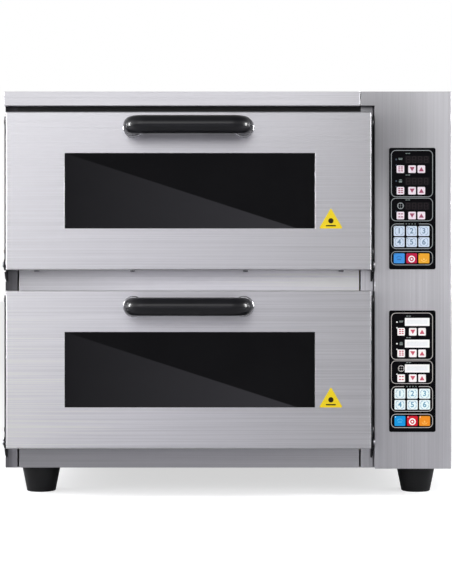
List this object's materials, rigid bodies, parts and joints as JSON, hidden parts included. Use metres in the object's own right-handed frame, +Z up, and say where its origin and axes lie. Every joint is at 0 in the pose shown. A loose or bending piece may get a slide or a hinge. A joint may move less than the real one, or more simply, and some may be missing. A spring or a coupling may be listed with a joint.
{
  "type": "countertop pizza oven",
  "caption": "Electric countertop pizza oven with stacked baking chambers, drop-down windowed doors with bow handles, a side control column and tapered feet.",
  "frame": {"origin": "on the surface the oven stands on, below the middle of its overall box", "axes": "+Z up, the doors face -Y, +X towards the control column"},
  "size_m": [0.5638, 0.575, 0.5065],
  "materials": {
    "casing_steel": "brushed stainless sheet",
    "front_steel": "brushed stainless sheet, grain along the width",
    "column_steel": "brushed stainless sheet, grain upright",
    "zinc_steel": "zinc-coated sheet",
    "dark_steel": "black heat-resistant paint",
    "chamber_steel": "mill-finish stainless sheet, slightly heat-tinted",
    "hinge_steel": "blackened",
    "fastener_steel": "bright zinc plate",
    "spring_steel": "drawn wire",
    "element_sheath": "dark oxidised sheath",
    "bright_chrome": "polished",
    "handle_black": "moulded heat-resistant plastic, glossy",
    "dark_glass": "dark tinted toughened glass",
    "clear_glass": "clear heat-resistant glass",
    "baking_stone": "unglazed fired stone",
    "mineral_wool": "loose fibre blanket",
    "woven_seal": "woven glass fibre",
    "keypad_film": "printed film, satin",
    "circuit_board": "green solder mask",
    "black_plastic": "moulded",
    "white_plastic": "moulded",
    "loom_sleeve": "braided sleeve",
    "foot_rubber": "moulded",
    "lamp_ceramic": "white",
    "label_vinyl": "printed film"
  },
  "bodies": {
    "casing": {"base_plate": "zinc_steel", "left_side_panel": "casing_steel", "right_side_panel": "casing_steel", "top_cover": "casing_steel", "back_panel": "zinc_steel", "compartment_partition": "zinc_steel", "front_top_rail": "front_steel", "front_header": "dark_steel", "front_middle_rail": "front_steel", "front_bottom_rail": "front_steel", "left_front_post": "front_steel", "right_front_post": "front_steel", "control_column_front": "column_steel", "insulation_blankets": "mineral_wool", "stone_ledges": "chamber_steel", "temperature_probes": "chamber_steel", "lamp_glasses": "clear_glass", "lamp_bulbs": "lamp_ceramic", "feet": "foot_rubber", "foot_screws": "fastener_steel", "power_relays": "black_plastic", "terminal_block": "white_plastic", "limit_thermostats": "black_plastic", "cable_gland": "black_plastic", "wiring_loom": "loom_sleeve", "casing_screws": "fastener_steel", "hinge_brackets": "hinge_steel", "hinge_pins": "hinge_steel", "upper_chamber_liner": "chamber_steel", "upper_deck_stone": "baking_stone", "upper_heating_elements": "element_sheath", "upper_keypad_overlay": "keypad_film", "upper_control_board": "circuit_board", "lower_chamber_liner": "chamber_steel", "lower_deck_stone": "baking_stone", "lower_heating_elements": "element_sheath", "lower_keypad_overlay": "keypad_film", "lower_control_board": "circuit_board"},
    "upper_door": {"upper_hinge_springs": "spring_steel", "upper_door_shell": "front_steel", "upper_door_inner_panel": "chamber_steel", "upper_door_outer_glass": "dark_glass", "upper_door_inner_glass": "clear_glass", "upper_door_gasket": "woven_seal", "upper_door_handle": "handle_black", "upper_door_handle_flanges": "bright_chrome", "upper_door_hinge_arms": "hinge_steel", "upper_door_screws": "hinge_steel", "upper_door_label": "label_vinyl"},
    "lower_door": {"lower_hinge_springs": "spring_steel", "lower_door_shell": "front_steel", "lower_door_inner_panel": "chamber_steel", "lower_door_outer_glass": "dark_glass", "lower_door_inner_glass": "clear_glass", "lower_door_gasket": "woven_seal", "lower_door_handle": "handle_black", "lower_door_handle_flanges": "bright_chrome", "lower_door_hinge_arms": "hinge_steel", "lower_door_screws": "hinge_steel", "lower_door_label": "label_vinyl"}
  },
  "joints": [
    {"name": "upper_door_hinge", "type": "hinge", "parent": "casing", "child": "upper_door", "pos_m": [-0.0485, -0.2225, 0.2894], "axis": [1, 0, 0], "range_deg": [0, 90], "stiffness_Nm_per_rad": 0.83, "springref_deg": -20.63},
    {"name": "lower_door_hinge", "type": "hinge", "parent": "casing", "child": "lower_door", "pos_m": [-0.0485, -0.2225, 0.0674], "axis": [1, 0, 0], "range_deg": [0, 90], "stiffness_Nm_per_rad": 0.83, "springref_deg": -20.63}
  ]
}
